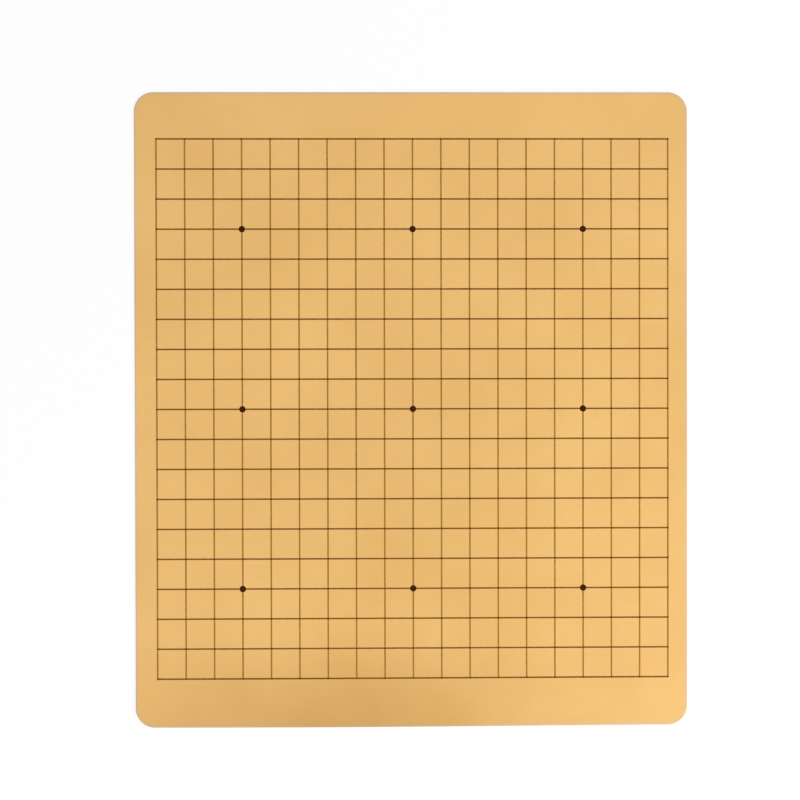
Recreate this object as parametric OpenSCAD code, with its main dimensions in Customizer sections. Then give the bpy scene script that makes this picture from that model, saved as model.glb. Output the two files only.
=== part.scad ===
// Roll-up go board: a sheet of coated cloth with rounded corners and a printed grid.
// Millimetres. The origin is the middle of the underside. The player's near edge is at -Y,
// the far edge at +Y, and the printed face looks up, along +Z.

/* [Layers of the sheet] */
// Thickness of the brushed base cloth, which lies on the table
base_cloth_t = 0.9; // [0.4:0.05:1.5]
// Thickness of the tie coat, which bonds the foam to the cloth
tie_coat_t = 0.1; // [0.05:0.01:0.3]
// Thickness of the foamed coat
foam_coat_t = 0.5; // [0.2:0.05:1]
// Thickness of the grained face skin
face_skin_t = 0.3; // [0.1:0.05:0.6]

/* [Outline of the sheet] */
// Margin from the left column's middle to the left edge
left_margin = 17; // [12:0.5:60]
// Margin from the right column's middle to the right edge
right_margin = 15; // [12:0.5:60]
// Margin from the near row's middle to the near edge
near_margin = 37.4; // [12:0.1:80]
// Margin from the far row's middle to the far edge
far_margin = 36; // [12:0.1:80]
// Radius of the four rounded corners
corner_r = 15; // [2:0.5:30]

/* [Printed grid] */
// Number of lines each way
line_count = 19; // [9, 13, 19]
// Distance between neighbouring columns, a little over the width of a stone
column_pitch = 22; // [18:0.1:26]
// Distance between neighbouring rows, longer to look square to a seated player
row_pitch = 23.2; // [18:0.1:28]
// Width of an inner line
line_w = 1.2; // [0.4:0.05:1.5]
// Extra width of the border, the outermost rows and columns
border_extra_w = 0.1; // [0:0.05:1]
// Thickness of the film of ink
ink_t = 0.05; // [0.02:0.01:0.1]

/* [Star points] */
// Diameter of a printed star point
star_d = 5; // [2:0.1:8]
// Number of spaces between the border and the nearest star points
star_space_count = 3; // [2:1:3]

/* [Hidden] */
$fn = 64;

last_line = line_count - 1;
grid_w = last_line * column_pitch;
grid_l = last_line * row_pitch;
sheet_w = left_margin + grid_w + right_margin;
sheet_l = near_margin + grid_l + far_margin;

// Heights at which the layers meet
tie_coat_z = base_cloth_t;
foam_coat_z = tie_coat_z + tie_coat_t;
face_skin_z = foam_coat_z + foam_coat_t;
print_z = face_skin_z + face_skin_t;

// Middle of the printed grid, which the unequal margins set off the sheet's middle
grid_x = (left_margin - right_margin) / 2;
grid_y = (near_margin - far_margin) / 2;

border_w = line_w + border_extra_w;

// Star points lie on three rows and three columns, counted from 0 at the border
star_lines = [star_space_count, last_line / 2, last_line - star_space_count];
star_places = [0 : len(star_lines) - 1];
star_rows = ["near", "mid", "far"];
star_columns = ["left", "centre", "right"];
STAR_NODES = [
    for (row = star_rows)
        for (column = star_columns)
            str("star_point_", row, "_", column)
];

cloth_colour = "#D9CDB8";
tie_colour = "#C9A46A";
foam_colour = "#F1E6CF";
skin_colour = "#E7BB74";
ink_colour = "#401C04";

// Place of a column or a row, counted from 0 at the left or near border
function column_x(i) = grid_x - grid_w / 2 + i * column_pitch;
function row_y(j) = grid_y - grid_l / 2 + j * row_pitch;

// Outline of the cut sheet, with a round at each corner
module sheet_outline() {
    square([sheet_w - 2 * corner_r, sheet_l], center = true);
    square([sheet_w, sheet_l - 2 * corner_r], center = true);
    for (x = [-1, 1])
        for (y = [-1, 1])
            translate([x * (sheet_w / 2 - corner_r), y * (sheet_l / 2 - corner_r)])
                circle(r = corner_r);
}

// One layer of the sheet, from height z upward
module sheet_layer(z, thickness) {
    translate([0, 0, z])
        linear_extrude(thickness)
            sheet_outline();
}

// One printed shape, lying on the face skin
module printed() {
    translate([0, 0, print_z])
        linear_extrude(ink_t)
            children();
}

// Rectangle round the grid, its edges this far in (minus) or out (plus) from the outermost lines' middles
module grid_rectangle(out) {
    translate([grid_x, grid_y])
        square([grid_w + 2 * out, grid_l + 2 * out], center = true);
}

// The disc of the star point on the i-th of the star columns and the j-th of the star rows
module star_disc(i, j) {
    translate([column_x(star_lines[i]), row_y(star_lines[j])])
        circle(d = star_d);
}

module base_cloth() {
    color(cloth_colour)
        sheet_layer(0, base_cloth_t);
}

module tie_coat() {
    color(tie_colour)
        sheet_layer(tie_coat_z, tie_coat_t);
}

module foam_coat() {
    color(foam_colour)
        sheet_layer(foam_coat_z, foam_coat_t);
}

module face_skin() {
    color(skin_colour)
        sheet_layer(face_skin_z, face_skin_t);
}

module border_line() {
    color(ink_colour)
        printed()
            difference() {
                grid_rectangle(border_w / 2);
                grid_rectangle(-border_w / 2);
            }
}

// The inner lines reach the border and stop at the star points
module grid_lines() {
    color(ink_colour)
        printed()
            difference() {
                union() {
                    for (i = [1 : last_line - 1])
                        translate([column_x(i), grid_y])
                            square([line_w, grid_l - border_w], center = true);
                    for (j = [1 : last_line - 1])
                        translate([grid_x, row_y(j)])
                            square([grid_w - border_w, line_w], center = true);
                }
                for (i = star_places)
                    for (j = star_places)
                        star_disc(i, j);
            }
}

module star_point(i, j) {
    color(ink_colour)
        printed()
            star_disc(i, j);
}

base_cloth();
tie_coat();
foam_coat();
face_skin();
border_line();
grid_lines();
for (j = star_places)
    for (i = star_places)
        star_point(i, j);
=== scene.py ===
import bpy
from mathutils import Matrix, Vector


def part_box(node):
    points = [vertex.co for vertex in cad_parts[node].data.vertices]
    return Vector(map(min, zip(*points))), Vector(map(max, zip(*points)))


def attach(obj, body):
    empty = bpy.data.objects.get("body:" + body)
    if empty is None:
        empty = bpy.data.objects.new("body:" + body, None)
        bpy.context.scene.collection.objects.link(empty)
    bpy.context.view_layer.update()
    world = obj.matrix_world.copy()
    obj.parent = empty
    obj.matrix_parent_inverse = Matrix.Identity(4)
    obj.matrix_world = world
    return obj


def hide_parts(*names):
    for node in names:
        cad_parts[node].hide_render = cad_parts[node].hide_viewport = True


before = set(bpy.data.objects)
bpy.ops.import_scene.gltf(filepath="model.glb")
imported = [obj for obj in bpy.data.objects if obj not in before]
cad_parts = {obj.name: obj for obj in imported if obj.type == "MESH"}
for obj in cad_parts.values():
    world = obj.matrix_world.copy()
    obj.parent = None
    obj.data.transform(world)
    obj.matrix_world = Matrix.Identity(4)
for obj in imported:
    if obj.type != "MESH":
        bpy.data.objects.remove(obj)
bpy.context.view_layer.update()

# A roll-up go board: four bonded layers of coated cloth, cut with rounded corners, and a grid printed on
# the face. Metres throughout. The near edge is at -Y, the far edge at +Y, and the face looks up.

import math

import bpy
from mathutils import Matrix, Vector

MM = 0.001

# Points that are closer together than this are one point.
SAME_PLACE = 0.001 * MM


def middle(node):
    """Middle of a node's box."""
    low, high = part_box(node)
    return (low + high) / 2


# The sheet, from its layers in the frame. A corner's round begins where the straight far edge ends.
SHEET_LAYERS = ("base_cloth", "tie_coat", "foam_coat", "face_skin")
skin_low, skin_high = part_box("face_skin")
SHEET_W = skin_high.x - skin_low.x
SHEET_L = skin_high.y - skin_low.y
SHEET_T = skin_high.z
skin_points = [vertex.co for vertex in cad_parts["face_skin"].data.vertices]
far_edge_end = max(point.x for point in skin_points if point.y > skin_high.y - SAME_PLACE)
CORNER_R = skin_high.x - far_edge_end

# The printed grid. The outer star points are some spaces in from the border, and the rest lie evenly
# between them.
LINE_COUNT = 19
STAR_SPACES = 3
STAR_ROWS = ("near", "mid", "far")
STAR_COLUMNS = ("left", "centre", "right")
STAR_SPREAD = LINE_COUNT - 1 - 2 * STAR_SPACES
STAR_EVERY = STAR_SPREAD / (len(STAR_ROWS) - 1)
first_star = middle("star_point_near_left")
last_star = middle("star_point_far_right")
COLUMN_PITCH = (last_star.x - first_star.x) / STAR_SPREAD
ROW_PITCH = (last_star.y - first_star.y) / STAR_SPREAD
FIRST_COLUMN_X = first_star.x - STAR_SPACES * COLUMN_PITCH
FIRST_ROW_Y = first_star.y - STAR_SPACES * ROW_PITCH
star_low, star_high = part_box("star_point_near_left")
STAR_R = (star_high.x - star_low.x) / 2

# The border's lines are a little wider than the rest.
BORDER_EXTRA_W = 0.1 * MM
border_low, border_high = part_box("border_line")
LINE_W = border_high.x - border_low.x - (LINE_COUNT - 1) * COLUMN_PITCH - BORDER_EXTRA_W
INK_T = border_high.z - SHEET_T

# How finely the pieces are divided, and the angle from which an edge is sharp. The sheet's cells shrink
# towards the cut edge.
CELLS_ACROSS = 96
CELLS_ALONG = 110
STAR_SIDES = 48
SHARP_ANGLE = math.radians(50)

# The cut edge: the die squeezes the layers at the rim and rounds the face over.
RIM_W = 1.4 * MM
RIM_SQUEEZE = 0.05
FACE_ROUND = 0.2 * MM

# How the sheet lies. It was stored rolled up, so its ends bend up from the table, most sharply where
# they leave it.
END_CURVE = 1.6
NEAR_LIFT = 5.5 * MM
NEAR_REACH = 58 * MM
NEAR_CREST_X = -48 * MM
NEAR_CREST_W = 150 * MM
FAR_LIFT = 0.5 * MM
FAR_REACH = 44 * MM
FAR_CREST_X = 70 * MM
FAR_CREST_W = 180 * MM

# Between its ends it lies in shallow waves, and touches the table in the troughs. Trough and crest are
# values of the noise that makes the waves.
WAVE_HEIGHT = 0.5 * MM
WAVES_PER_M = 7
WAVE_TROUGH = 0.42
WAVE_CREST = 0.72

# Each piece has a map of its own to be baked on. As shares of the map: its margin, the strip that is
# left for the hidden side, and how far a wall folds out.
MAP_NAME = "OFBake"
MAP_MARGIN = 0.006
MAP_STRIP = 0.03
MAP_FOLD = 0.004

# Camera, found from the crossings of the printed lines and the cut edges in a square picture of 800
# pixels: the grid's middle along the camera's own axes, and how the camera turns from straight down.
PICTURE_PX = 800
FOCAL_PX = 3000
SENSOR_MM = 36
GRID_SEEN_AT = Vector((10.04, -6.87, -2324.1)) * MM
CAMERA_TURN = (0.0188, 0.0299, 0.0020)

# Light. Together the softbox and the room light a white card to white.
SOFTBOX_FROM = Vector((0.6, -0.6, 0.71))
SOFTBOX_AWAY = 4.0
SOFTBOX_SIZE = 2.2
SOFTBOX_W = 193
ROOM_LIGHT = 0.35
FLOOR_SIZE = 40
FLOOR_SHOWN_WHITE = 0.9
FLOOR_CARD = (0.9, 0.9, 0.9, 1)
WHITE = (1, 1, 1, 1)


def srgb(red, green, blue):
    """Scene colour of an 8-bit display colour."""
    scaled = [channel / 255 for channel in (red, green, blue)]
    return [c / 12.92 if c <= 0.04045 else ((c + 0.055) / 1.055) ** 2.4 for c in scaled] + [1]


def between(share, low, high):
    """A number that goes from low to high as share goes from 0 to 1."""
    return share * (high - low) + low


# Node trees

# Nearly all of a noise lies between these two values.
NOISE_LOW = 0.3
NOISE_HIGH = 0.7


class Field:
    """A number that varies over a surface. Arithmetic on it adds Math nodes to its tree."""

    def __init__(self, nodes, socket):
        self.nodes = nodes
        self.socket = socket

    def __add__(self, other):
        return self.nodes.math("ADD", self, other)

    def __sub__(self, other):
        return self.nodes.math("SUBTRACT", self, other)

    def __rsub__(self, other):
        return self.nodes.math("SUBTRACT", other, self)

    def __mul__(self, other):
        return self.nodes.math("MULTIPLY", self, other)

    def __truediv__(self, other):
        return self.nodes.math("DIVIDE", self, other)

    def __pow__(self, power):
        return self.nodes.math("POWER", self, power)

    __radd__ = __add__
    __rmul__ = __mul__


class Nodes:
    """Builds one node tree: adds nodes, links the fields and sockets given to them, and sets the rest."""

    def __init__(self, tree):
        self.tree = tree

    def feed(self, socket, value):
        """Links the socket to a field or another socket, or sets it to a plain value."""
        if isinstance(value, Field):
            value = value.socket
        if isinstance(value, bpy.types.NodeSocket):
            self.tree.links.new(value, socket)
        else:
            socket.default_value = value

    def add(self, kind, inputs=None, **settings):
        """A new node. Its settings come first, because they decide which inputs it has."""
        node = self.tree.nodes.new(kind)
        for name, value in settings.items():
            setattr(node, name, value)
        for name, value in (inputs or {}).items():
            self.feed(node.inputs[name], value)
        return node

    def math(self, operation, *values):
        node = self.add("ShaderNodeMath", operation=operation)
        for socket, value in zip(node.inputs, values):
            self.feed(socket, value)
        return Field(self, node.outputs[0])

    def share(self, value, low, high):
        """0 where the value is at low, 1 where it is at high, straight between them and held outside."""
        node = self.add("ShaderNodeMapRange", {"Value": value, "From Min": low, "From Max": high})
        return Field(self, node.outputs["Result"])

    def bell(self, *offsets):
        """1 where every offset is 0, falling away in a bell curve as they grow past 1."""
        squares = [offset * offset for offset in offsets]
        return self.math("EXPONENT", sum(squares[1:], squares[0]) * -1.0)

    def split(self, vector):
        node = self.add("ShaderNodeSeparateXYZ", {"Vector": vector})
        return [Field(self, socket) for socket in node.outputs]

    def vector(self, x, y, z):
        return self.add("ShaderNodeCombineXYZ", {"X": x, "Y": y, "Z": z}).outputs["Vector"]

    def blend(self, share, start, end):
        """A colour that goes from start to end as share goes from 0 to 1."""
        return self.mix_colours(share, start, end, "MIX")

    def tint(self, share, start, dye):
        """A colour that goes from start to start times the dye as share goes from 0 to 1."""
        return self.mix_colours(share, start, dye, "MULTIPLY")

    def mix_colours(self, share, start, other, blend_type):
        node = self.add("ShaderNodeMix", {"Factor": share}, data_type="RGBA", blend_type=blend_type)
        self.feed(node.inputs[6], start)
        self.feed(node.inputs[7], other)
        return node.outputs[2]

    def noise(self, place, scale, detail=2.0, roughness=0.5):
        inputs = {"Vector": place, "Scale": scale, "Detail": detail, "Roughness": roughness}
        return Field(self, self.add("ShaderNodeTexNoise", inputs).outputs["Fac"])

    def patches(self, noise):
        """The noise, drawn out to go from 0 to 1."""
        return self.share(noise, NOISE_LOW, NOISE_HIGH)

    def cells(self, place, scale, feature="F1"):
        node = self.add("ShaderNodeTexVoronoi", {"Vector": place, "Scale": scale}, feature=feature)
        return Field(self, node.outputs["Distance"])

    def bump(self, height, depth, strength):
        inputs = {"Height": height, "Distance": depth, "Strength": strength}
        return self.add("ShaderNodeBump", inputs).outputs["Normal"]

    def position(self):
        """Where the points of a mesh are."""
        return self.split(self.add("GeometryNodeInputPosition").outputs[0])

    def put(self, mesh, x, y, z):
        """The mesh, with its points put there."""
        inputs = {"Geometry": mesh, "Position": self.vector(x, y, z)}
        return self.add("GeometryNodeSetPosition", inputs).outputs[0]

    def store(self, mesh, name, value, data_type, domain):
        """The mesh, which carries a value under a name."""
        inputs = {"Geometry": mesh, "Name": name, "Value": value}
        kind = "GeometryNodeStoreNamedAttribute"
        return self.add(kind, inputs, data_type=data_type, domain=domain).outputs[0]

    def grid(self, width, cells_across, cells_along):
        """A flat square of cells, with its middle at the origin."""
        inputs = {
            "Size X": width,
            "Size Y": width,
            "Vertices X": cells_across + 1,
            "Vertices Y": cells_along + 1,
        }
        return self.add("GeometryNodeMeshGrid", inputs).outputs["Mesh"]


# Geometry trees

SOCKET_KINDS = {float: "NodeSocketFloat", int: "NodeSocketInt", bool: "NodeSocketBool"}


class Grower:
    """A geometry tree with named inputs for its sizes, which grows pieces as plain meshes."""

    def __init__(self, name, sizes):
        self.tree = bpy.data.node_groups.new(name, "GeometryNodeTree")
        self.nodes = Nodes(self.tree)
        face = self.tree.interface
        self.identifiers = {}
        for size, value in sizes.items():
            socket = face.new_socket(size, in_out="INPUT", socket_type=SOCKET_KINDS[type(value)])
            socket.default_value = value
            self.identifiers[size] = socket.identifier
        finish = face.new_socket("Finish", in_out="INPUT", socket_type="NodeSocketMaterial")
        self.identifiers["Finish"] = finish.identifier
        face.new_socket("Geometry", in_out="OUTPUT", socket_type="NodeSocketGeometry")
        self.given = self.nodes.add("NodeGroupInput").outputs

    def size(self, name):
        return Field(self.nodes, self.given[name])

    def end(self, mesh):
        """Closes the tree: the mesh is realized, shaded smooth but for its sharp edges, and finished."""
        add = self.nodes.add
        real = add("GeometryNodeRealizeInstances", {"Geometry": mesh}).outputs[0]
        angle = add("GeometryNodeInputMeshEdgeAngle").outputs["Unsigned Angle"]
        soft = self.nodes.math("LESS_THAN", angle, SHARP_ANGLE)
        shading = "GeometryNodeSetShadeSmooth"
        smooth = add(shading, {"Geometry": real, "Shade Smooth": True}, domain="FACE").outputs[0]
        sharp = add(shading, {"Geometry": smooth, "Shade Smooth": soft}, domain="EDGE").outputs[0]
        finished = add("GeometryNodeSetMaterial", {"Geometry": sharp, "Material": self.given["Finish"]})
        add("NodeGroupOutput", {"Geometry": finished.outputs[0]})

    def grow(self, name, finish, **sizes):
        """A new object whose plain mesh is what the tree makes of these sizes."""
        piece = bpy.data.objects.new(name, bpy.data.meshes.new(name))
        bpy.context.scene.collection.objects.link(piece)
        modifier = piece.modifiers.new("grown", "NODES")
        modifier.node_group = self.tree
        modifier[self.identifiers["Finish"]] = finish
        for size, value in sizes.items():
            modifier[self.identifiers[size.replace("_", " ").title()]] = value
        depsgraph = bpy.context.evaluated_depsgraph_get()
        mesh = bpy.data.meshes.new_from_object(piece.evaluated_get(depsgraph), depsgraph=depsgraph)
        empty = piece.data
        piece.modifiers.clear()
        piece.data = mesh
        bpy.data.meshes.remove(empty)
        mesh.name = name
        return piece


def end_lift(nodes, x, from_cut, lift, reach, crest_x, crest_w):
    """Height of an end that was stored rolled up. It leaves the table a reach away from the cut edge, and
    along the edge it is highest at the crest."""
    rise = (1 - nodes.share(from_cut, 0.0, reach)) ** END_CURVE
    return rise * nodes.bell((x - crest_x) / crest_w) * lift


def laid(nodes, mesh):
    """The mesh, lifted from flat to the way that the sheet lies."""
    x, y, z = nodes.position()
    near = end_lift(nodes, x, y + SHEET_L / 2, NEAR_LIFT, NEAR_REACH, NEAR_CREST_X, NEAR_CREST_W)
    far = end_lift(nodes, x, SHEET_L / 2 - y, FAR_LIFT, FAR_REACH, FAR_CREST_X, FAR_CREST_W)
    swell = nodes.noise(nodes.vector(x, y, 0), WAVES_PER_M, detail=0.0)
    wave = nodes.share(swell, WAVE_TROUGH, WAVE_CREST) ** 2 * WAVE_HEIGHT
    return nodes.put(mesh, x, y, z + (near + far + wave))


def on_map(nodes, span_x, span_y, hidden):
    """Where a point of a slab that spans so much lies on its map, across and along. The side that shows
    fills the map, but for the strip at its end that is left for the hidden side."""
    x, y, _ = nodes.position()
    across = between(x / span_x + 0.5, MAP_MARGIN, 1 - MAP_MARGIN)
    low = between(hidden, 0, 1 - MAP_STRIP) + MAP_MARGIN
    high = between(hidden, 1 - MAP_STRIP, 1) - MAP_MARGIN
    return across, between(y / span_y + 0.5, low, high)


def mapped(nodes, mesh, across, along):
    """The mesh with its map, from where each corner of its faces lies there."""
    return nodes.store(mesh, MAP_NAME, nodes.vector(across, along, 0), "FLOAT2", "CORNER")


def slab(nodes, flat, span_x, span_y, face_down):
    """A flat mesh closed into a slab, whose underside is at height 0 and whose top is at height 1. Its map
    gives most room to the top, or to the underside of a slab that shows only that. The walls fold out
    round it."""
    up = {"Mesh": flat, "Offset": (0, 0, 1), "Individual": False}
    raised = nodes.add("GeometryNodeExtrudeMesh", up).outputs
    under = nodes.add("GeometryNodeFlipFaces", {"Mesh": flat}).outputs["Mesh"]

    facing = nodes.add("GeometryNodeFieldOnDomain", data_type="FLOAT_VECTOR", domain="FACE")
    nodes.feed(facing.inputs[0], nodes.add("GeometryNodeInputNormal").outputs[0])
    out_x, out_y, _ = nodes.split(facing.outputs[0])
    _, _, z = nodes.position()
    wall = Field(nodes, raised["Side"])
    fold = between(face_down, 1 - z, z) * MAP_FOLD * wall
    across, along = on_map(nodes, span_x, span_y, face_down * (1 - wall))
    top = mapped(nodes, raised["Mesh"], across + out_x * fold, along + out_y * fold)
    bottom = mapped(nodes, under, *on_map(nodes, span_x, span_y, 1 - face_down))

    both = nodes.add("GeometryNodeJoinGeometry")
    nodes.feed(both.inputs[0], top)
    nodes.feed(both.inputs[0], bottom)
    merge = {"Geometry": both.outputs[0], "Distance": SAME_PLACE}
    return nodes.add("GeometryNodeMergeByDistance", merge).outputs[0]


def sheet_layer_grower():
    """Tree for one layer of the sheet."""
    sizes = {
        "Width": SHEET_W,
        "Length": SHEET_L,
        "Corner Radius": CORNER_R,
        "Cells Across": CELLS_ACROSS,
        "Cells Along": CELLS_ALONG,
        "Underside": 0.0,
        "Topside": SHEET_T,
        "Edge Round": 0.0,
        "Rim Width": RIM_W,
        "Rim Squeeze": RIM_SQUEEZE,
        "Face Down": False,
    }
    grower = Grower("sheet layer", sizes)
    nodes = grower.nodes
    size = grower.size
    half_w = size("Width") / 2
    half_l = size("Length") / 2
    radius = size("Corner Radius")

    # A square grid from -1 to 1, whose cells shrink towards the edge, and whose corners are drawn in to
    # quarter rounds
    grid = nodes.grid(2, size("Cells Across"), size("Cells Along"))
    x, y, _ = nodes.position()
    graded_x = half_w - half_w * (1 - nodes.math("ABSOLUTE", x)) ** 2
    graded_y = half_l - half_l * (1 - nodes.math("ABSOLUTE", y)) ** 2
    corner_u = nodes.math("MAXIMUM", graded_x - half_w + radius, 0) / radius
    corner_v = nodes.math("MAXIMUM", graded_y - half_l + radius, 0) / radius
    drawn_u = corner_u * nodes.math("SQRT", 1 - corner_v ** 2 / 2) * radius
    drawn_v = corner_v * nodes.math("SQRT", 1 - corner_u ** 2 / 2) * radius
    outline_x = nodes.math("MINIMUM", graded_x, half_w - radius) + drawn_u
    outline_y = nodes.math("MINIMUM", graded_y, half_l - radius) + drawn_v
    flat = nodes.put(grid, outline_x * nodes.math("SIGN", x), outline_y * nodes.math("SIGN", y), 0)
    closed = slab(nodes, flat, size("Width"), size("Length"), size("Face Down"))

    # Distance in from the cut edge
    x, y, z = nodes.position()
    over_x = nodes.math("ABSOLUTE", x) - half_w + radius
    over_y = nodes.math("ABSOLUTE", y) - half_l + radius
    corner_x = nodes.math("MAXIMUM", over_x, 0)
    corner_y = nodes.math("MAXIMUM", over_y, 0)
    from_corner = nodes.math("SQRT", corner_x ** 2 + corner_y ** 2)
    inside = nodes.math("MINIMUM", nodes.math("MAXIMUM", over_x, over_y), 0)
    from_edge = radius - from_corner - inside
    marked = nodes.store(closed, "from_edge", from_edge, "FLOAT", "POINT")

    # Heights, squeezed at the rim, with the top edge rounded over
    squeeze = 1 - size("Rim Squeeze") * (1 - nodes.share(from_edge, 0.0, size("Rim Width"))) ** 2
    turn = 1 - nodes.share(from_edge, 0.0, size("Edge Round") + SAME_PLACE)
    rounded = size("Edge Round") * (1 - nodes.math("SQRT", 1 - turn ** 2))
    top = size("Topside") * squeeze - rounded
    bottom = size("Underside") * squeeze
    thick = nodes.put(marked, x, y, between(z, bottom, top))
    grower.end(laid(nodes, thick))
    return grower


# The printed lattice has six steps from one line to the next: the line's two edges, the reach of a star
# point, a third and two thirds of the way, and the reach of the next star point.
STEPS_PER_LINE = 6
LATTICE_CELLS = (LINE_COUNT - 1) * STEPS_PER_LINE + 1


def lattice_place(nodes, step, first, pitch, line_w, border_w, star_r):
    """Place of a step of the lattice, counted from the outer edge of the first line."""
    line = nodes.math("FLOOR", (step + 0.5) / STEPS_PER_LINE)
    part = step - line * STEPS_PER_LINE
    from_middle = nodes.math("ABSOLUTE", line - (LINE_COUNT - 1) / 2)
    at_border = nodes.math("GREATER_THAN", from_middle, LINE_COUNT / 2 - 1)
    half = between(at_border, line_w, border_w) / 2
    choice = nodes.add("GeometryNodeIndexSwitch", data_type="FLOAT")
    for _ in range(STEPS_PER_LINE - 2):
        choice.index_switch_items.new()
    nodes.feed(choice.inputs["Index"], nodes.math("ROUND", part))
    offsets = (half * -1.0, half, star_r, pitch / 3, pitch * 2 / 3, pitch - star_r)
    for index, offset in enumerate(offsets):
        nodes.feed(choice.inputs[index + 1], offset)
    return line * pitch + first + Field(nodes, choice.outputs[0])


def lattice_marks(nodes, along):
    """1 or 0 for the cells of the lattice along one way: on a line, on the border, and within the reach of
    a star point, which takes up a line's own cell and the one on each side of it."""
    cell = nodes.math("FLOOR", along + LATTICE_CELLS / 2)
    on_line = nodes.math("LESS_THAN", nodes.math("FLOORED_MODULO", cell, STEPS_PER_LINE), 0.5)
    from_middle = nodes.math("ABSOLUTE", cell - (LATTICE_CELLS - 1) / 2)
    on_border = nodes.math("GREATER_THAN", from_middle, LATTICE_CELLS / 2 - 1)
    cycle = STAR_EVERY * STEPS_PER_LINE
    past_star = cell - STAR_SPACES * STEPS_PER_LINE + cycle / 2
    from_star = nodes.math("FLOORED_MODULO", past_star, cycle) - cycle / 2
    at_star = nodes.math("LESS_THAN", nodes.math("ABSOLUTE", from_star), 1.5)
    return on_line, on_border, at_star


def printed_line_grower():
    """Tree for the printed lines: the border, or the inner lines with room left for the star points."""
    sizes = {
        "Border": False,
        "First Column X": FIRST_COLUMN_X,
        "First Row Y": FIRST_ROW_Y,
        "Column Pitch": COLUMN_PITCH,
        "Row Pitch": ROW_PITCH,
        "Line Width": LINE_W,
        "Border Extra Width": BORDER_EXTRA_W,
        "Star Radius": STAR_R,
        "Underside": SHEET_T,
        "Ink Thickness": INK_T,
    }
    grower = Grower("printed lines", sizes)
    nodes = grower.nodes
    size = grower.size

    # One unit for each step, so that a cell's place tells which lines it belongs to
    grid = nodes.grid(LATTICE_CELLS, LATTICE_CELLS, LATTICE_CELLS)
    x, y, _ = nodes.position()
    on_column, on_side, at_star_column = lattice_marks(nodes, x)
    on_row, on_end, at_star_row = lattice_marks(nodes, y)
    border = nodes.math("MAXIMUM", on_side, on_end)
    star = at_star_column * at_star_row
    inner = nodes.math("MAXIMUM", on_column, on_row) * (1 - border) * (1 - star)
    unwanted = {"Geometry": grid, "Selection": 1 - between(size("Border"), inner, border)}
    kept = nodes.add("GeometryNodeDeleteGeometry", unwanted, domain="FACE").outputs[0]
    closed = slab(nodes, kept, LATTICE_CELLS, LATTICE_CELLS, 0)

    # Each step goes to its place on the sheet.
    x, y, z = nodes.position()
    column = nodes.math("ROUND", x + LATTICE_CELLS / 2)
    row = nodes.math("ROUND", y + LATTICE_CELLS / 2)
    line_w = size("Line Width")
    widths = (line_w, line_w + size("Border Extra Width"), size("Star Radius"))
    place_x = lattice_place(nodes, column, size("First Column X"), size("Column Pitch"), *widths)
    place_y = lattice_place(nodes, row, size("First Row Y"), size("Row Pitch"), *widths)
    placed = nodes.put(closed, place_x, place_y, size("Underside") + size("Ink Thickness") * z)
    grower.end(laid(nodes, placed))
    return grower


def star_point_grower():
    """Tree for one printed star point."""
    sizes = {
        "Place X": 0.0,
        "Place Y": 0.0,
        "Radius": STAR_R,
        "Sides": STAR_SIDES,
        "Underside": SHEET_T,
        "Ink Thickness": INK_T,
    }
    grower = Grower("star point", sizes)
    nodes = grower.nodes
    size = grower.size
    round_size = {"Vertices": size("Sides"), "Radius": size("Radius")}
    disc = nodes.add("GeometryNodeMeshCircle", round_size, fill_type="TRIANGLE_FAN").outputs[0]
    closed = slab(nodes, disc, size("Radius") * 2, size("Radius") * 2, 0)
    x, y, z = nodes.position()
    height = size("Underside") + size("Ink Thickness") * z
    placed = nodes.put(closed, x + size("Place X"), y + size("Place Y"), height)
    grower.end(laid(nodes, placed))
    return grower


# Finishes

def new_finish(name):
    """A new material, the builder of its nodes, its shader's inputs, and the place of a point."""
    material = bpy.data.materials.new(name)
    material.use_nodes = True
    nodes = Nodes(material.node_tree)
    place = nodes.add("ShaderNodeTexCoord").outputs["Object"]
    return material, nodes, material.node_tree.nodes["Principled BSDF"].inputs, place


def edge_distance(nodes):
    """Distance in from the cut edge, which the sheet's layers carry."""
    return Field(nodes, nodes.add("ShaderNodeAttribute", attribute_name="from_edge").outputs["Fac"])


# The grain that is embossed in the face. A crease reaches in from a pebble's edge by a share of a pebble.
PEBBLES_PER_M = 1150
PEBBLE_RISE = 0.6
CREASE_REACH = 0.28
WRINKLES_PER_M = 420
WRINKLE_RISE = 0.6
GRAIN_DEPTH = 0.05 * MM
PRINTED_GRAIN_DEPTH = 0.04 * MM


def pebble_grain(nodes, place):
    """Height of the grain, from 0 in a crease to about 1 on a pebble."""
    pebbles = nodes.share(nodes.cells(place, PEBBLES_PER_M, "DISTANCE_TO_EDGE"), 0.0, CREASE_REACH)
    wrinkles = nodes.noise(place, WRINKLES_PER_M, detail=3.0, roughness=0.6)
    return pebbles * PEBBLE_RISE + wrinkles * WRINKLE_RISE


# The near margin is darker with painted shade, most at the edge and a little way into the grid. The
# strength of the painted shade is patchy.
NEAR_SHADE_REACH = 80 * MM
NEAR_SHADE_PATCHES_PER_M = 25
NEAR_SHADE_FAINT = 0.7
NEAR_SHADE_STRONG = 1.3
NEAR_SHADE_PAINTED = (0.84, 0.80, 0.74, 1)


def painted_near_shade(nodes, place):
    """Share of painted shade on the near margin, most left of its middle."""
    x, y, _ = nodes.split(place)
    near = 1 - nodes.share(y, -SHEET_L / 2, NEAR_SHADE_REACH - SHEET_L / 2)
    patchy = between(nodes.noise(place, NEAR_SHADE_PATCHES_PER_M), NEAR_SHADE_FAINT, NEAR_SHADE_STRONG)
    return near * nodes.bell((x - NEAR_CREST_X) / NEAR_CREST_W) * patchy


# The face is darker in a broad patch about its middle, a little towards the near edge.
MIDDLE_PATCH_X = 20 * MM
MIDDLE_PATCH_Y = -85 * MM
MIDDLE_PATCH_W = 90 * MM
MIDDLE_PATCH_L = 130 * MM
MIDDLE_PATCH_DARKER = (0.94, 0.93, 0.90, 1)


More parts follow.
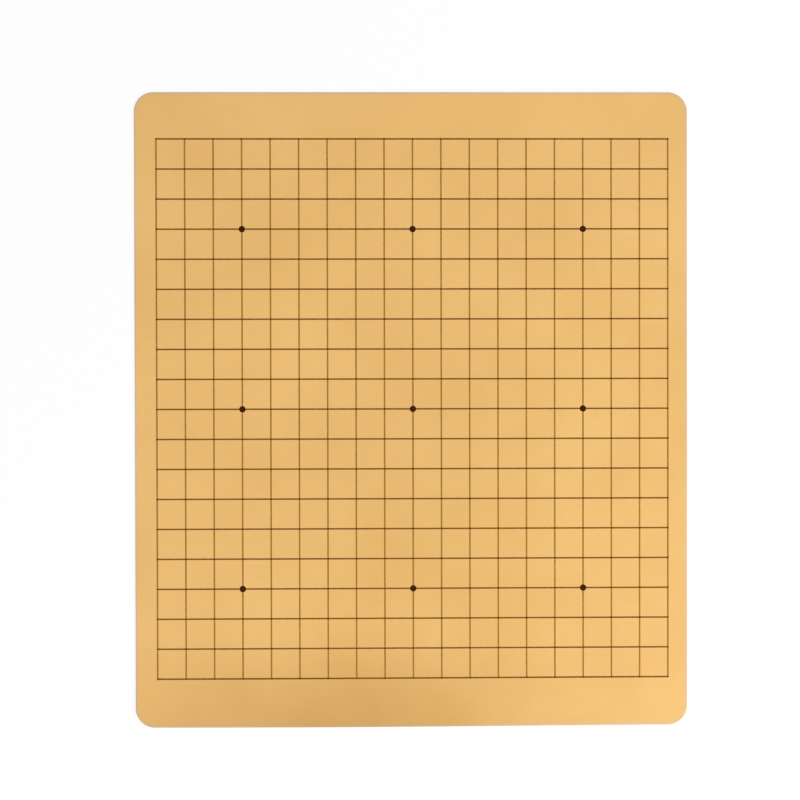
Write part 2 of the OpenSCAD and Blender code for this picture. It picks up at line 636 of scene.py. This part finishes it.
def middle_patch(nodes, place):
    """Share by which the face is darker in the broad patch about its middle."""
    x, y, _ = nodes.split(place)
    return nodes.bell((x - MIDDLE_PATCH_X) / MIDDLE_PATCH_W, (y - MIDDLE_PATCH_Y) / MIDDLE_PATCH_L)


# The face's tones: pale and deep clouds that are partly evened out, painted shade in the creases, deeper
# mottles, and a rim that is greyer and bluer towards the cut edge
FACE_TAN = srgb(229, 183, 112)
FACE_TAN_PALE = srgb(234, 190, 120)
FACE_TAN_DEEP = srgb(221, 173, 102)
CLOUDS_PER_M = 11
CLOUDS_EVENED = 0.45
CREASE_SHADE_PAINTED = 0.22
MOTTLES_PER_M = 160
MOTTLES_DEEPER = 0.08
RIM_GREY = (0.90, 0.99, 1.45, 1)
RIM_GREY_FULL_TO = 0.6 * MM
RIM_GREY_GONE_AT = 3.6 * MM


def face_skin_finish():
    """Tan coated face: fine pebble grain, slow clouds, painted shade in creases and on the near margin, a
    darker middle patch, a greyer rim.
    """
    material, nodes, shader, place = new_finish("tan pebbled face")
    clouds = nodes.patches(nodes.noise(place, CLOUDS_PER_M, detail=3.0, roughness=0.55))
    mottle = nodes.patches(nodes.noise(place, MOTTLES_PER_M))
    grain = pebble_grain(nodes, place)
    in_creases = 1 - nodes.share(grain, 0.1, 0.7)
    at_rim = 1 - nodes.share(edge_distance(nodes), RIM_GREY_FULL_TO, RIM_GREY_GONE_AT)
    tone = nodes.blend(clouds, FACE_TAN_DEEP, FACE_TAN_PALE)
    tone = nodes.blend(CLOUDS_EVENED, tone, FACE_TAN)
    # Painted shade in the creases of the grain, and deeper mottles at random
    tone = nodes.blend(in_creases * CREASE_SHADE_PAINTED + mottle * MOTTLES_DEEPER, tone, FACE_TAN_DEEP)
    # Darker in a broad patch about the middle
    tone = nodes.tint(middle_patch(nodes, place), tone, MIDDLE_PATCH_DARKER)
    # Painted shade on the near margin
    tone = nodes.tint(painted_near_shade(nodes, place), tone, NEAR_SHADE_PAINTED)
    # Greyer and bluer towards the cut edge
    tone = nodes.tint(at_rim, tone, RIM_GREY)
    nodes.feed(shader["Base Color"], tone)
    nodes.feed(shader["Roughness"], between(mottle, 0.72, 0.82))
    shader["Specular IOR Level"].default_value = 0.2
    nodes.feed(shader["Normal"], nodes.bump(grain, GRAIN_DEPTH, strength=0.8))
    return material


# Films of ink, each as a share of a film that hides the face. A film of half that is a full wash.
INK_BROWN = srgb(56, 22, 0)
INK_WASH = srgb(146, 102, 36)
WASH_FILM = 0.5
ROW_FILM = 0.72
COLUMN_FILM = 0.48
STAR_FILM = 1.3
CROSSING_LOSS = 0.7

# In half widths from a line's middle, where its ink has faded out, and how far a crease draws that in
LINE_FADED = 1.3
LINE_RAGGED = 0.25

# How uneven a film of ink is: shares that creases and streaks take off it, and its least and most thickness
# in the speckle of the screen
CREASES_THIN = 0.3
INK_STREAKS_PER_M = 300
STREAKS_THIN = 0.1
INK_SPECKLES_PER_M = 3500
SPECKLE_LEAST = 0.65
SPECKLE_MOST = 1.35
INK_DULL_SPOTS_PER_M = 900


def line_cover(nodes, along, first, pitch, ragged):
    """1 on the nearest of a set of lines and 0 off it. The line's edges are as ragged as is said."""
    step = nodes.math("FLOORED_MODULO", (along - first) / pitch + 0.5, 1) - 0.5
    half_widths = nodes.math("ABSOLUTE", step) * (2 * pitch / LINE_W)
    return 1 - nodes.share(half_widths + ragged, 1.0, LINE_FADED)


def line_film(nodes, place, grain):
    """Thickness of the ink of the lines, which is thicker where a row crosses a column. The edges of the
    ink follow the grain."""
    x, y, _ = nodes.split(place)
    ragged = (1 - grain) * LINE_RAGGED
    row = line_cover(nodes, y, FIRST_ROW_Y, ROW_PITCH, ragged) * ROW_FILM
    column = line_cover(nodes, x, FIRST_COLUMN_X, COLUMN_PITCH, ragged) * COLUMN_FILM
    return row + column - row * column * CROSSING_LOSS


def ink_finish(name, of_lines):
    """Dark brown screen-printed ink, of the lines or of the star points. It is transparent, so a thin film
    of it is a wash that lets the face show, and it is thinnest in the creases of the grain."""
    material, nodes, shader, place = new_finish(name)
    grain = pebble_grain(nodes, place)
    film = line_film(nodes, place, grain) if of_lines else STAR_FILM
    in_creases = 1 - nodes.share(grain, 0.05, 0.5)
    streaks = nodes.share(nodes.noise(place, INK_STREAKS_PER_M), 0.5, 0.8)
    speckle = nodes.patches(nodes.noise(place, INK_SPECKLES_PER_M))
    evenness = 1 - in_creases * CREASES_THIN - streaks * STREAKS_THIN
    thickness = evenness * between(speckle, SPECKLE_LEAST, SPECKLE_MOST) * film
    wash = nodes.blend(nodes.share(thickness, 0.0, WASH_FILM), FACE_TAN, INK_WASH)
    tone = nodes.blend(nodes.share(thickness, WASH_FILM, 1.0), wash, INK_BROWN)
    nodes.feed(shader["Base Color"], tone)
    nodes.feed(shader["Roughness"], between(nodes.noise(place, INK_DULL_SPOTS_PER_M), 0.6, 0.8))
    shader["Specular IOR Level"].default_value = 0.04
    nodes.feed(shader["Normal"], nodes.bump(grain, PRINTED_GRAIN_DEPTH, strength=0.8))
    return material


# The two coats that show only at the cut edge
FOAM_CREAM = srgb(241, 228, 200)
FOAM_CELLS_PER_M = 6500
FOAM_CELL_SHADE_PAINTED = 0.5
FOAM_CELL_DEPTH = 0.05 * MM
TIE_AMBER = srgb(201, 164, 106)
TIE_SOAKS_PER_M = 1200
TIE_SOAK_DEPTH = 0.03 * MM


def foam_coat_finish():
    """Cream foamed coat with small burst cells."""
    material, nodes, shader, place = new_finish("cream foamed coat")
    bubbles = nodes.share(nodes.cells(place, FOAM_CELLS_PER_M), 0.1, 0.6)
    # Where the coat lies lower, towards the edges of its cells, the cream is painted darker as shade
    nodes.feed(shader["Base Color"], nodes.blend(bubbles * FOAM_CELL_SHADE_PAINTED, FOAM_CREAM, TIE_AMBER))
    nodes.feed(shader["Roughness"], between(bubbles, 0.75, 0.9))
    shader["Specular IOR Level"].default_value = 0.25
    nodes.feed(shader["Normal"], nodes.bump(1 - bubbles, FOAM_CELL_DEPTH, strength=0.7))
    return material


def tie_coat_finish():
    """Amber tie coat that has soaked unevenly into the cloth."""
    material, nodes, shader, place = new_finish("amber tie coat")
    soak = nodes.patches(nodes.noise(place, TIE_SOAKS_PER_M, detail=3.0, roughness=0.6))
    nodes.feed(shader["Base Color"], nodes.blend(soak, TIE_AMBER, FOAM_CREAM))
    nodes.feed(shader["Roughness"], between(soak, 0.4, 0.6))
    nodes.feed(shader["Normal"], nodes.bump(soak, TIE_SOAK_DEPTH, strength=0.6))
    return material


# Threads of the backing cloth, each uneven along its length, and fibres that the brush has raised and laid
# along the sheet. Hollows are painted darker as shade, and worn patches are darker.
CLOTH_BEIGE = srgb(217, 205, 184)
CLOTH_SHADE = srgb(180, 164, 138)
THREADS_PER_M = 1200
SLUBS_PER_M = 35
THREAD_RISE = 0.6
FIBRES_ACROSS_PER_M = 1100
FIBRES_ALONG_PER_M = 420
NAP_RISE = 0.4
CLOTH_DEPTH = 0.12 * MM
HOLLOW_SHADE_PAINTED = 0.8
WORN_PATCHES_PER_M = 16
WORN_DARKER = 0.12

# The ends of the threads show at the cut edge, and no further in than this.
THREAD_ENDS_PER_M = 3200
THREAD_ENDS_FULL_TO = 0.01 * MM
THREAD_ENDS_GONE_AT = 0.05 * MM


def drawn_out(nodes, place, across_per_m, along_per_m, detail):
    """Noise with so many features per metre across the sheet and along it."""
    x, y, _ = nodes.split(place)
    stretched = nodes.vector(x * across_per_m, y * along_per_m, 0)
    return nodes.noise(stretched, 1.0, detail=detail, roughness=0.6)


def base_cloth_finish():
    """Woven backing cloth, brushed to a short nap, with the ends of its threads at the cut edge."""
    material, nodes, shader, place = new_finish("beige brushed backing cloth")
    warp = drawn_out(nodes, place, THREADS_PER_M, SLUBS_PER_M, detail=2.0)
    weft = drawn_out(nodes, place, SLUBS_PER_M, THREADS_PER_M, detail=2.0)
    weave = nodes.share(warp + weft, 0.7, 1.3)
    fibres = drawn_out(nodes, place, FIBRES_ACROSS_PER_M, FIBRES_ALONG_PER_M, detail=3.0)
    nap = nodes.patches(fibres)
    thread_ends = 1 - nodes.share(nodes.cells(place, THREAD_ENDS_PER_M), 0.1, 0.8)
    at_cut = 1 - nodes.share(edge_distance(nodes), THREAD_ENDS_FULL_TO, THREAD_ENDS_GONE_AT)
    height = between(at_cut, weave, thread_ends) * THREAD_RISE + nap * NAP_RISE
    hollows = 1 - nodes.share(height, 0.1, 0.9)
    worn = nodes.share(nodes.noise(place, WORN_PATCHES_PER_M), 0.35, 0.75)
    # Painted shade in the hollows, and worn patches at random
    shade = hollows * HOLLOW_SHADE_PAINTED + worn * WORN_DARKER
    nodes.feed(shader["Base Color"], nodes.blend(shade, CLOTH_BEIGE, CLOTH_SHADE))
    nodes.feed(shader["Roughness"], between(nap, 0.85, 0.95))
    shader["Specular IOR Level"].default_value = 0.15
    shader["Sheen Weight"].default_value = 0.25
    nodes.feed(shader["Normal"], nodes.bump(height, CLOTH_DEPTH, strength=0.8))
    return material


# The board

def take_place(piece, node):
    """The piece stands for its CAD node, and rides with the board."""
    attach(piece, "root")
    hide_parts(node)
    return piece


def sheet():
    """The four bonded layers, from the cloth up."""
    finishes = {
        "base_cloth": base_cloth_finish(),
        "tie_coat": tie_coat_finish(),
        "foam_coat": foam_coat_finish(),
        "face_skin": face_skin_finish(),
    }
    grower = sheet_layer_grower()
    layers = []
    for node in SHEET_LAYERS:
        low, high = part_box(node)
        layer = grower.grow(
            "sheet_" + node,
            finishes[node],
            underside=low.z,
            topside=high.z,
            edge_round=FACE_ROUND if node == "face_skin" else 0.0,
            face_down=node == "base_cloth",
        )
        layers.append(take_place(layer, node))
    return layers


def printed_grid():
    """The printed border, the inner lines and the star points."""
    line_ink = ink_finish("brown ink of the lines", of_lines=True)
    star_ink = ink_finish("brown ink of the star points", of_lines=False)
    lines = printed_line_grower()
    stars = star_point_grower()
    printed = [
        take_place(lines.grow("printed_border", line_ink, border=True), "border_line"),
        take_place(lines.grow("printed_grid", line_ink, border=False), "grid_lines"),
    ]
    for row in STAR_ROWS:
        for column in STAR_COLUMNS:
            node = f"star_point_{row}_{column}"
            place = middle(node)
            star = stars.grow("printed_" + node, star_ink, place_x=place.x, place_y=place.y)
            printed.append(take_place(star, node))
    return printed


# The stage

def seen_directly(nodes):
    """1 for what the camera sees itself, in a mirror or through glass, and 0 for what only gives light."""
    path = nodes.add("ShaderNodeLightPath").outputs
    glossy = nodes.math("MAXIMUM", path["Is Camera Ray"], path["Is Glossy Ray"])
    return nodes.math("MAXIMUM", glossy, path["Is Transmission Ray"])


def floor():
    """Pale floor, which is shown nearly white and keeps a little of the board's shadow."""
    half = FLOOR_SIZE / 2
    mesh = bpy.data.meshes.new("floor")
    corners = [(-half, -half, 0), (half, -half, 0), (half, half, 0), (-half, half, 0)]
    mesh.from_pydata(corners, [], [(0, 1, 2, 3)])
    plane = bpy.data.objects.new("floor", mesh)
    bpy.context.scene.collection.objects.link(plane)
    material = bpy.data.materials.new("pale floor")
    material.use_nodes = True
    nodes = Nodes(material.node_tree)
    material.node_tree.nodes.remove(material.node_tree.nodes["Principled BSDF"])
    card = nodes.add("ShaderNodeBsdfDiffuse", {"Color": FLOOR_CARD})
    shown = nodes.add("ShaderNodeEmission", {"Color": WHITE, "Strength": 1})
    mix = nodes.add("ShaderNodeMixShader", {"Fac": seen_directly(nodes) * FLOOR_SHOWN_WHITE})
    nodes.feed(mix.inputs[1], card.outputs[0])
    nodes.feed(mix.inputs[2], shown.outputs[0])
    nodes.feed(material.node_tree.nodes["Material Output"].inputs["Surface"], mix.outputs[0])
    mesh.materials.append(material)


def room():
    """Even light from all round, which is shown white."""
    world = bpy.data.worlds.new("room")
    bpy.context.scene.world = world
    world.use_nodes = True
    nodes = Nodes(world.node_tree)
    background = world.node_tree.nodes["Background"].inputs
    background["Color"].default_value = WHITE
    nodes.feed(background["Strength"], between(seen_directly(nodes), ROOM_LIGHT, 1))


def softbox():
    """One large soft lamp, high up beyond the near right corner."""
    lamp = bpy.data.lights.new("softbox", "AREA")
    lamp.shape = "DISK"
    lamp.size = SOFTBOX_SIZE
    lamp.energy = SOFTBOX_W
    light = bpy.data.objects.new("softbox", lamp)
    bpy.context.scene.collection.objects.link(light)
    light.location = SOFTBOX_FROM.normalized() * SOFTBOX_AWAY
    light.rotation_euler = SOFTBOX_FROM.to_track_quat("Z", "Y").to_euler()


def camera():
    """Camera nearly straight above the board."""
    lens = bpy.data.cameras.new("camera")
    lens.sensor_width = SENSOR_MM
    lens.lens = FOCAL_PX / PICTURE_PX * SENSOR_MM
    eye = bpy.data.objects.new("camera", lens)
    bpy.context.scene.collection.objects.link(eye)
    turn_x, turn_y, turn_z = (Matrix.Rotation(turn, 3, axis) for turn, axis in zip(CAMERA_TURN, "XYZ"))
    facing = (turn_x @ turn_y @ turn_z).transposed()
    place = middle("border_line") - facing @ GRID_SEEN_AT
    eye.matrix_world = Matrix.Translation(place) @ facing.to_4x4()
    bpy.context.scene.camera = eye


bpy.context.scene.view_settings.view_transform = "Standard"
camera()
softbox()
room()
floor()
layers = sheet()
printed = printed_grid()
